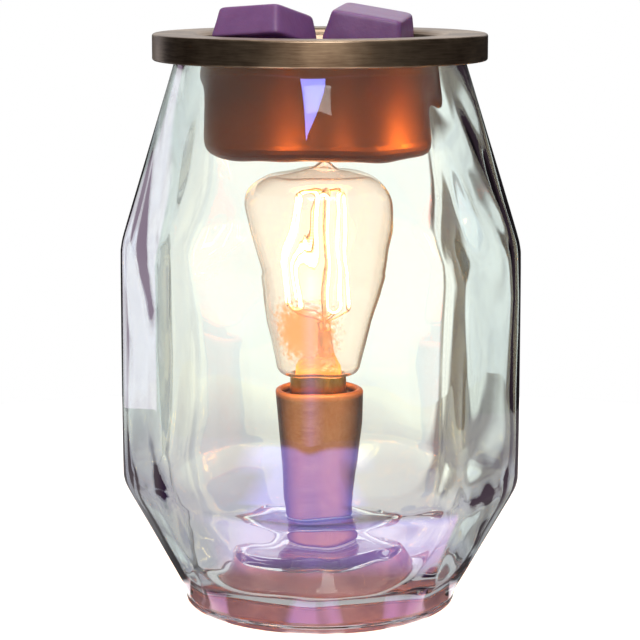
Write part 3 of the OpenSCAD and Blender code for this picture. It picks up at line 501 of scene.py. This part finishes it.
# ---- Brass parts of the lamp holder and bulb ----
# Drawn and stamped brass, tarnished by the heat in spots 3 mm apart: screw shell, centre contact and terminal
# screws of the holder, and the bulb's screw cap that turns in them.
m, tree, out = new_material("drawn_brass")
place = add_node(tree, "ShaderNodeTexCoord").outputs["Object"]
tarnish = add_node(tree, "ShaderNodeTexNoise", Scale=1 / (2.857 * mm), Detail=5.0, links=[("Vector", place)])
colour = add_node(tree, "ShaderNodeMix", data_type="RGBA", i6=linear("#6b4a20"), i7=linear("#c09a50"),
                  links=[(0, tarnish.outputs[0])])
rough = add_node(tree, "ShaderNodeMapRange", To_Min=0.45, To_Max=0.2, links=[("Value", tarnish.outputs[0])])
bump = add_node(tree, "ShaderNodeBump", Strength=0.08, Distance=0.0001, links=[("Height", tarnish.outputs[0])])
shader = add_node(tree, "ShaderNodeBsdfPrincipled", Metallic=1.0, links=[
    ("Base Color", colour.outputs[2]), ("Roughness", rough.outputs[0]), ("Normal", bump.outputs[0])])
tree.links.new(shader.outputs[0], out.inputs[0])
finish(m, "socket_screw_shell", "socket_contact", "terminal_screws", "bulb_cap")

# ---- Bulb's insulator and centre contact ----
# A button of black vitrite, a poured glass, with a soldered tip of tin in its middle.
m, tree, out = new_material("black_vitrite")
place = add_node(tree, "ShaderNodeTexCoord").outputs["Object"]
flow = add_node(tree, "ShaderNodeTexNoise", Scale=1 / (3.333 * mm), Distortion=1.5, links=[("Vector", place)])
colour = add_node(tree, "ShaderNodeMix", data_type="RGBA", i6=linear("#0e0d12"), i7=linear("#231f2b"),
                  links=[(0, flow.outputs[0])])
shader = add_node(tree, "ShaderNodeBsdfPrincipled", Roughness=0.12, IOR=1.6, links=[("Base Color", colour.outputs[2])])
tree.links.new(shader.outputs[0], out.inputs[0])
finish(m, "bulb_insulator")

m, tree, out = new_material("tin_solder")
place = add_node(tree, "ShaderNodeTexCoord").outputs["Object"]
frost = add_node(tree, "ShaderNodeTexNoise", Scale=1 / (1.111 * mm), Detail=3.0, links=[("Vector", place)])
colour = add_node(tree, "ShaderNodeMix", data_type="RGBA", i6=linear("#a9aaac"), i7=linear("#d8d9da"),
                  links=[(0, frost.outputs[0])])
rough = add_node(tree, "ShaderNodeMapRange", To_Min=0.3, To_Max=0.55, links=[("Value", frost.outputs[0])])
shader = add_node(tree, "ShaderNodeBsdfPrincipled", Metallic=1.0, links=[
    ("Base Color", colour.outputs[2]), ("Roughness", rough.outputs[0])])
tree.links.new(shader.outputs[0], out.inputs[0])
finish(m, "bulb_contact")

# ---- Bulb glass ----
# A pear of thin lime glass, blown in a mould and drawn to a seal tip at its crown, with a faint amber tint and
# slow waves about 14 mm long. Its neck is cemented into the screw cap.
m, tree, out = new_material("amber_tinted_bulb_glass")
place = add_node(tree, "ShaderNodeTexCoord").outputs["Object"]
waves = add_node(tree, "ShaderNodeTexNoise", Scale=1 / (14.29 * mm), Detail=1.0, links=[("Vector", place)])
bump = add_node(tree, "ShaderNodeBump", Strength=0.12, Distance=0.001, links=[("Height", waves.outputs[0])])
amber = add_node(tree, "ShaderNodeMix", data_type="RGBA", i6=linear("#fff6ee"), i7=linear("#fffaf6"),
                 links=[(0, waves.outputs[0])])
# An amber patch of specks 2 mm apart lies low on one side and glows with painted light: near the point (-5, -15, 99)
# mm, where middle is the place from that point in shares of about 10, 11 and 12 mm.
middle = add_node(tree, "ShaderNodeVectorMath", operation="MULTIPLY_ADD", i1=(100.0, 90.0, 85.0),
                  i2=(0.5, 1.35, -8.4), links=[(0, place)])
away = add_node(tree, "ShaderNodeVectorMath", operation="LENGTH", links=[(0, middle.outputs[0])])
specks = add_node(tree, "ShaderNodeTexNoise", Scale=1 / (1.923 * mm), Detail=4.0, Roughness=0.75,
                  links=[("Vector", place)])
ragged = add_node(tree, "ShaderNodeMath", operation="MULTIPLY_ADD", i1=-2.4,
                  links=[(0, specks.outputs[0]), (2, away.outputs[1])])
bloom = add_node(tree, "ShaderNodeMapRange", From_Min=-0.05, From_Max=-0.55, links=[("Value", ragged.outputs[0])])
colour = add_node(tree, "ShaderNodeMix", data_type="RGBA", i7=linear("#cf8a50"), links=[
    (0, bloom.outputs[0]), (6, amber.outputs[2])])
# Painted light: the amber patch glows, and the whole glass glows faintly.
painted_glow = add_node(tree, "ShaderNodeMath", operation="MULTIPLY_ADD", i1=0.25, i2=0.05, links=[(0, bloom.outputs[0])])
shader = add_node(tree, "ShaderNodeBsdfPrincipled", Roughness=0.0, IOR=1.5, Transmission_Weight=1.0,
                  Emission_Color=linear("#ffc9a0"), links=[
                      ("Base Color", colour.outputs[2]), ("Normal", bump.outputs[0]),
                      ("Emission Strength", painted_glow.outputs[0])])
tree.links.new(shader.outputs[0], out.inputs[0])


def rounded(corners, steps=16):
    """A profile from rows of height, radius and rounding: each corner is replaced by an arc that touches both
    of its sides, and a corner of rounding 0 stays."""
    corners = np.array(corners, float)
    line = [corners[0, :2]]
    for before, here, after in zip(corners[:-2], corners[1:-1], corners[2:]):
        u = (before - here)[:2] / np.linalg.norm((before - here)[:2])
        v = (after - here)[:2] / np.linalg.norm((after - here)[:2])
        half = np.arccos(np.clip(u @ v, -1, 1)) / 2
        middle = here[:2] + (u + v) / np.linalg.norm(u + v) * here[2] / np.sin(half)
        first, last = here[:2] + u * here[2] / np.tan(half) - middle, here[:2] + v * here[2] / np.tan(half) - middle
        whole = np.pi - 2 * half
        for t in np.linspace(0, 1, steps):
            line.append(middle + (first * np.sin((1 - t) * whole) + last * np.sin(t * whole)) / np.sin(whole))
    return np.array(line + [corners[-1, :2]])


def spun_sheet(name, line, thick, columns=128, **more):
    """A thin sheet turned round the z axis: the outer profile (height, radius in mm), and the same profile set
    inwards by the thickness along its own normals."""
    along = np.gradient(line, axis=0)
    along /= np.linalg.norm(along, axis=1, keepdims=True)
    inner = line + thick * along[:, ::-1] * (1, -1)
    inner[:, 1] = np.clip(inner[:, 1], 0, None)
    z, r = np.concatenate([line, inner[::-1]]).T[:, :, None]
    t = np.linspace(0, 2 * np.pi, columns + 1)[:-1][None, :]
    return grid_mesh(name, np.stack([r * np.cos(t), r * np.sin(t), z + 0 * t], -1) * mm, wrap_rows=True, **more)


(_, _, bulb_low), (_, _, bulb_top) = np.array(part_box("bulb_glass")) / mm
bulb_r, cap_top, crown, bulb_wall = 24.2, bulb_low + 4, bulb_top - 4, 0.7
pear = rounded([
    [bulb_low, 7.3, 0], [cap_top, 7.3, 0.6], [cap_top + 1.5, bulb_r * 0.55, 4.5],
    [cap_top + (crown - cap_top) * 0.43, bulb_r * 0.84, 80], [crown - 2, bulb_r * 1.04, 9.5], [crown + 0.4, 4.6, 2.5],
    [crown + 2.9, 1.6, 0.8], [bulb_top, 0, 0]])
bulb = spun_sheet("bulb", pear, bulb_wall, materials=[m], smooth_angle=60)
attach(bulb, "bulb")
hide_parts("bulb_glass")
bulb.visible_shadow = False

# ---- Bulb's stem ----
# The flared glass tube sealed to the bulb's neck, its pinch round the leads, and a rod with a button on top.
# Its glass is full of press marks 2 mm apart. Its amber tint and the orange glow low on it are painted light, standing
# in for the hot filament above.
m, tree, out = new_material("stem_glass_with_painted_glow")
place = add_node(tree, "ShaderNodeTexCoord").outputs["Object"]
parts = add_node(tree, "ShaderNodeSeparateXYZ", links=[("Vector", place)])
press = add_node(tree, "ShaderNodeTexNoise", Scale=1 / (2.381 * mm), Detail=4.0, links=[("Vector", place)])
colour = add_node(tree, "ShaderNodeMix", data_type="RGBA", i6=linear("#e8b888"), i7=linear("#fff6ea"),
                  links=[(0, press.outputs[0])])
bump = add_node(tree, "ShaderNodeBump", Strength=0.9, Distance=0.0012, links=[("Height", press.outputs[0])])
# A painted orange glow, strongest at the stem's base, standing in for the filament's light.
painted_filament_glow = add_node(tree, "ShaderNodeMapRange", From_Min=(cap_top + 2.5) * mm, From_Max=(cap_top + 5) * mm,
                    To_Min=0.8, To_Max=0.02, links=[("Value", parts.outputs[2])])
shader = add_node(tree, "ShaderNodeBsdfPrincipled", Roughness=0.06, IOR=1.52, Transmission_Weight=1.0,
                  Emission_Color=linear("#f58220"), links=[
                      ("Base Color", colour.outputs[2]), ("Normal", bump.outputs[0]),
                      ("Emission Strength", painted_filament_glow.outputs[0])])
tree.links.new(shader.outputs[0], out.inputs[0])
wire_r = 0.3
cage_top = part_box("bulb_filament")[1][2] / mm - wire_r
cage_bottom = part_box("bulb_filament")[0][2] / mm + wire_r
pinch_top = cage_bottom - 8.5
z, r = rounded([
    [cap_top - 2.6, 0, 0], [cap_top - 2.6, 6.3, 0.4], [cap_top + 3.5, 6.1, 3], [cap_top + 8, 3.6, 5],
    [pinch_top, 2.8, 1.5], [pinch_top + 0.8, 0.9, 0.6], [cage_top - 1.6, 0.9, 0.5], [cage_top - 1, 1.8, 0.8],
    [cage_top + 1, 1.8, 0.8], [cage_top + 1.8, 0, 0]]).T[:, :, None]
t = np.linspace(0, 2 * np.pi, 49)[:-1][None, :]
stem = grid_mesh("stem", np.stack([r * np.cos(t), r * np.sin(t), z + 0 * t], -1) * mm, materials=[m])
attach(stem, "bulb")
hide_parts("bulb_stem")
stem.visible_shadow = False

# ---- Leads and filament hooks ----
# Lead wires of nickel and hooks of molybdenum, drawn wire browned in patches by the heat. The leads are sealed
# into the pinch of the glass stem and the hooks into its rod.
m, tree, out = new_material("heat_browned_nickel")
place = add_node(tree, "ShaderNodeTexCoord").outputs["Object"]
heat = add_node(tree, "ShaderNodeTexNoise", Scale=1 / (2 * mm), Detail=2.0, links=[("Vector", place)])
colour = add_node(tree, "ShaderNodeMix", data_type="RGBA", i6=linear("#8a5a34"), i7=linear("#c9a074"),
                  links=[(0, heat.outputs[0])])
shader = add_node(tree, "ShaderNodeBsdfPrincipled", Metallic=1.0, Roughness=0.4,
                  links=[("Base Color", colour.outputs[2])])
tree.links.new(shader.outputs[0], out.inputs[0])
finish(m, "bulb_leads", "bulb_supports")

# ---- Filament ----
# A tungsten wire wound into a fine coil and hung up and down between the hooks as a cage. It glows white-hot and
# yellow, and orange and dimmer at the edges of the cord, where it is seen aslant. The coil is drawn as a smooth cord
# of its own width.
coil_r, runs = 0.7, 10
cage_top_r, cage_bottom_r = 6.2, 10.5


def cage_line(runs, bend_steps=7, run_steps=14):
    """Points of the coil: each run goes straight from one ring of the cage to the other, and each bend
    is a half circle between the ends of two runs."""
    k = np.arange(runs)
    turn = np.radians((k + 0.5) * 360 / (runs + 1) + 100)
    low = np.stack([cage_bottom_r * np.cos(turn), cage_bottom_r * np.sin(turn), 0 * turn + cage_bottom], -1)
    high = np.stack([cage_top_r * np.cos(turn), cage_top_r * np.sin(turn), 0 * turn + cage_top], -1)
    start = np.where((k % 2 == 0)[:, None], low, high)
    end = np.where((k % 2 == 0)[:, None], high, low)
    gap = np.linalg.norm(start[1:] - end[:-1], axis=1).mean() / 2
    along = (end - start) / np.linalg.norm(end - start, axis=1, keepdims=True)
    s = np.linspace(0, 1, run_steps)[None, :, None]
    straight = (start + along * gap)[:, None] * (1 - s) + (end - along * gap)[:, None] * s
    t = np.linspace(0, np.pi, bend_steps + 2)[1:-1][None, :, None]
    middle = (end[:-1] - along[:-1] * gap + start[1:] + along[1:] * gap)[:, None] / 2
    across = (start[1:] + along[1:] * gap - end[:-1] + along[:-1] * gap)[:, None] / 2
    outward = np.where((k[:-1] % 2 == 0), 1.0, -1.0)[:, None, None] * np.array([0, 0, 1.0]) * gap
    bends = middle - across * np.cos(t) + outward * np.sin(t)
    parts = [straight[0]]
    for i in range(runs - 1):
        parts += [bends[i], straight[i + 1]]
    return np.concatenate(parts)


def cord_mesh(name, line, radius, sides=10, materials=()):
    """A round cord carried along a line near the z axis: its section is turned by the line's direction and by
    the outward direction from the axis, and it is closed at both ends."""
    ahead = np.gradient(line, axis=0)
    ahead /= np.linalg.norm(ahead, axis=1, keepdims=True)
    outward = line * (1, 1, 0)
    side = np.cross(ahead, outward)
    side /= np.linalg.norm(side, axis=1, keepdims=True)
    up = np.cross(side, ahead)
    t = np.linspace(0, 2 * np.pi, sides + 1)[:-1][None, :, None]
    tube = line[:, None] + radius * (np.cos(t) * side[:, None] + np.sin(t) * up[:, None])
    tube = np.concatenate([line[:1, None] + 0 * tube[:1], tube, line[-1:, None] + 0 * tube[:1]])
    return grid_mesh(name, tube * mm, materials=materials)


# The turns of the coil show as bands of yellow and white 1 mm apart; a wave makes a band each pi / 10 of its scale.
m, tree, out = new_material("white_hot_tungsten")
place = add_node(tree, "ShaderNodeTexCoord").outputs["Object"]
turns = add_node(tree, "ShaderNodeTexWave", bands_direction="Z", Scale=np.pi / 10 / (1.047 * mm),
                 links=[("Vector", place)])
heat = add_node(tree, "ShaderNodeMix", data_type="RGBA", i6=linear("#ffd596"), i7=linear("#fff0d2"),
                links=[(0, turns.outputs[1])])
rim = add_node(tree, "ShaderNodeLayerWeight", Blend=0.35)
glow_by = add_node(tree, "ShaderNodeMapRange", From_Min=0.1, From_Max=0.5, To_Min=7.0, To_Max=0.25,
                   links=[("Value", rim.outputs["Facing"])])
tone = add_node(tree, "ShaderNodeMix", data_type="RGBA", i7=linear("#c87424"), links=[
    (0, rim.outputs["Facing"]), (6, heat.outputs[2])])
shader = add_node(tree, "ShaderNodeBsdfPrincipled", Base_Color=linear("#5a5450"), Metallic=1.0, Roughness=0.5,
                  links=[("Emission Color", tone.outputs[2]), ("Emission Strength", glow_by.outputs[0])])
tree.links.new(shader.outputs[0], out.inputs[0])
filament = cord_mesh("filament_coil", cage_line(runs), coil_r, materials=[m])
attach(filament, "bulb")
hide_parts("bulb_filament")

# The light that the filament gives to the dish, the sleeve and the glass, from the middle of the cage.
glow = bpy.data.lights.new("filament_glow", "POINT")
glow.energy = 0.65
glow.color = linear("#ff9c3c")[:3]
glow.shadow_soft_size = 0.012
holder = bpy.data.objects.new("filament_glow", glow)
holder.location = (0, 0, 0.124)
holder.visible_transmission = False
bpy.context.scene.collection.objects.link(holder)

# The filament as the jar's three front facets mirror it: a spot where each mirror image stands, turned to the pan
# of the dish. Each has the direction of its facet in degrees and its power in watts, most on the right.
image_r, image_z, pan_z = 0.125, 0.13, 0.178
for facet_turned, power in ((-115.5, 0.32), (-70.5, 0.2), (-25.5, 1.9)):
    mirrored_lamp = bpy.data.lights.new("facet_glow", "SPOT")
    mirrored_lamp.energy, mirrored_lamp.shadow_soft_size = power, 0.008
    mirrored_lamp.color = linear("#ffb25e")[:3]
    mirrored_lamp.spot_size, mirrored_lamp.spot_blend = np.radians(30), 0.6
    holder = bpy.data.objects.new("facet_glow", mirrored_lamp)
    a = np.radians(facet_turned)
    holder.location = (image_r * np.cos(a), image_r * np.sin(a), image_z)
    holder.rotation_euler = (Vector((0, 0, pan_z)) - holder.location).to_track_quat("-Z", "Y").to_euler()
    holder.visible_camera = holder.visible_transmission = False
    bpy.context.scene.collection.objects.link(holder)

# ---- Wax dish ----
# Spun aluminium with a deep pan and a broad rolled rim, brushed while it turned and plated antique bronze:
# brown metal with fine lines round it. It lifts off the silicone ring on the jar's mouth.
m, tree, out = new_material("brushed_antique_bronze")
place = add_node(tree, "ShaderNodeTexCoord").outputs["Object"]
parts = add_node(tree, "ShaderNodeSeparateXYZ", links=[("Vector", place)])
flat = add_node(tree, "ShaderNodeCombineXYZ", links=[("X", parts.outputs[0]), ("Y", parts.outputs[1])])
radius = add_node(tree, "ShaderNodeVectorMath", operation="LENGTH", links=[("Vector", flat.outputs[0])])
back = add_node(tree, "ShaderNodeMath", operation="MULTIPLY", i1=-1.0, links=[(0, parts.outputs[1])])
turn = add_node(tree, "ShaderNodeMath", operation="ARCTAN2", links=[(0, parts.outputs[0]), (1, back.outputs[0])])
slow = add_node(tree, "ShaderNodeMath", operation="MULTIPLY", i1=3.5 * mm, links=[(0, turn.outputs[0])])
lathe = add_node(tree, "ShaderNodeCombineXYZ", links=[
    ("X", radius.outputs["Value"]), ("Y", slow.outputs[0]), ("Z", parts.outputs[2])])
# Brush lines about 0.6 mm apart and 10 mm long, drawn coarser than real ones so that they show. Round the dish
# the pattern moves only 3.5 mm for each radian, which draws it out along the turn.
brush = add_node(tree, "ShaderNodeTexNoise", Scale=1 / (0.5882 * mm), Detail=3.0, Roughness=0.7,
                 links=[("Vector", lathe.outputs[0])])
cloud = add_node(tree, "ShaderNodeTexNoise", Scale=1 / (16.67 * mm), Detail=3.0, links=[("Vector", place)])
both = add_node(tree, "ShaderNodeMath", operation="MULTIPLY_ADD", i1=0.6,
                links=[(0, brush.outputs[0]), (2, cloud.outputs[0])])
spread = add_node(tree, "ShaderNodeMapRange", From_Min=0.55, From_Max=1.05, links=[("Value", both.outputs[0])])
plated = add_node(tree, "ShaderNodeMix", data_type="RGBA", i6=linear("#6c5545"), i7=linear("#bca389"),
                  links=[(0, spread.outputs[0])])
# The pan, below the rim, is darker and redder than the rim.
pan = add_node(tree, "ShaderNodeMapRange", From_Min=(rim_top - 9.5) * mm, From_Max=(rim_top - 8.5) * mm,
               To_Min=1.0, To_Max=0.0, links=[("Value", parts.outputs[2])])
colour = add_node(tree, "ShaderNodeMix", data_type="RGBA", i7=linear("#62391f"), links=[
    (0, pan.outputs[0]), (6, plated.outputs[2])])
rough = add_node(tree, "ShaderNodeMapRange", To_Min=0.26, To_Max=0.4, links=[("Value", brush.outputs[0])])
bump = add_node(tree, "ShaderNodeBump", Strength=0.12, Distance=0.0001, links=[("Height", brush.outputs[0])])
shader = add_node(tree, "ShaderNodeBsdfPrincipled", Metallic=1.0, links=[
    ("Base Color", colour.outputs[2]), ("Roughness", rough.outputs[0]), ("Normal", bump.outputs[0])])
tree.links.new(shader.outputs[0], out.inputs[0])
finish(m, "wax_dish")

# ---- Scented wax ----
# Paraffin wax cast in cubes with soft edges and sloping sides, dyed purple. A cube has a satin skin with clouds
# 8 mm and pits 1 mm apart; light goes a little way in. The cubes lie loose in the dish, two on top of six.
m, tree, out = new_material("purple_paraffin_wax")
place = add_node(tree, "ShaderNodeTexCoord").outputs["Object"]
cloud = add_node(tree, "ShaderNodeTexNoise", Scale=1 / (8.333 * mm), Detail=3.0, links=[("Vector", place)])
pits = add_node(tree, "ShaderNodeTexNoise", Scale=1 / (1.111 * mm), Detail=2.0, links=[("Vector", place)])
colour = add_node(tree, "ShaderNodeMix", data_type="RGBA", i6=linear("#673a6e"), i7=linear("#865a8c"),
                  links=[(0, cloud.outputs[0])])
rough = add_node(tree, "ShaderNodeMapRange", To_Min=0.28, To_Max=0.5, links=[("Value", cloud.outputs[0])])
height = add_node(tree, "ShaderNodeMath", operation="MULTIPLY_ADD", i1=2.5,
                  links=[(0, cloud.outputs[0]), (2, pits.outputs[0])])
bump = add_node(tree, "ShaderNodeBump", Strength=0.25, Distance=0.0003, links=[("Height", height.outputs[0])])
shader = add_node(tree, "ShaderNodeBsdfPrincipled", IOR=1.44, Subsurface_Weight=0.35, Subsurface_Scale=0.0012,
                  Coat_Weight=0.25, Coat_Roughness=0.3, links=[
                      ("Base Color", colour.outputs[2]), ("Roughness", rough.outputs[0]), ("Normal", bump.outputs[0])])
tree.links.new(shader.outputs[0], out.inputs[0])


def wax_cube_points(place, yaw, tilt=0.0, roll=0.0, power=12, rows=41, columns=96):
    """A tapered cube with round edges: a superellipsoid, whose cosines and sines are raised to 2 / power, with its
    width going from base to top. It is turned by yaw, tilt and roll and stood on its place."""
    s, t = np.meshgrid(np.linspace(-np.pi / 2, np.pi / 2, rows), np.linspace(0, 2 * np.pi, columns + 1)[:-1],
                       indexing="ij")
    x, y, z = np.cos(s) * np.cos(t), np.cos(s) * np.sin(t), np.sin(s)
    x, y, z = (np.sign(v) * np.abs(v) ** (2 / power) for v in (x, y, z))
    half = (cube_base + (cube_top - cube_base) * (z + 1) / 2) / 2
    uneven = 1 + 0.006 * np.sin(3 * x + 2 * y + yaw) * np.cos(4 * y - 3 * z)
    p = np.stack([half * uneven * x, half * uneven * y, cube_h * (z + 1) / 2], -1)
    for angle, i, j in ((yaw, 0, 1), (tilt, 1, 2), (roll, 2, 0)):
        c, d = np.cos(np.radians(angle)), np.sin(np.radians(angle))
        u, v = p[..., i].copy(), p[..., j].copy()
        p[..., i], p[..., j] = c * u - d * v, d * u + c * v
    return (p + np.array(place)) * mm


def half_width(yaw):
    """Half the width of a cube turned by yaw: half its base times the sum of cosine and sine, less what its
    rounded corners take off."""
    spread = np.cos(np.radians(yaw)) + np.sin(np.radians(yaw))
    return cube_base / 2 * spread - corner_r * (spread - 1)


cube_base, cube_top, cube_h, slack, corner_r = 27.5, 23.4, 10.8, 0.3, 2
beside_gap, bowl_gap = 0.4, 3.2
left_yaw, left_tilt, left_roll = 32, 13, 3
right_yaw, right_tilt, right_roll = 12, 7, 8
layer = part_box("wax_cubes_lower")[0][2] / mm + np.arange(4) * (cube_h + slack)
left_x = half_width(left_yaw) + bowl_gap - dish_r
right_x = left_x + half_width(left_yaw) + half_width(right_yaw) + beside_gap
left_z = layer[3] + cube_top / 2 * np.sin(np.radians(left_tilt))
right_z = layer[3] + cube_top / 2 * 0.9 * (np.sin(np.radians(right_tilt)) + np.sin(np.radians(right_roll)))
apart = cube_base / 2 + beside_gap
for name, replaced, body, cubes in (
        ("wax_left", "wax_cube_left", "wax_left", [((left_x, 0, left_z), -left_yaw, -left_tilt, left_roll)]),
        ("wax_right", "wax_cube_right", "wax_right", [((right_x, 0, right_z), -right_yaw, right_tilt, right_roll)]),
        ("wax_low", "wax_cubes_lower", "wax_lower", [
            ((side * apart * (i != 1), side * apart * (i == 1), layer[i]), 90 * (i == 1))
            for i in range(3) for side in (-1, 1)])):
    for k, cube in enumerate(cubes):
        piece = grid_mesh(f"{name}_{k}", wax_cube_points(*cube), materials=[m], smooth_angle=180)
        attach(piece, body)
        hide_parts(replaced)
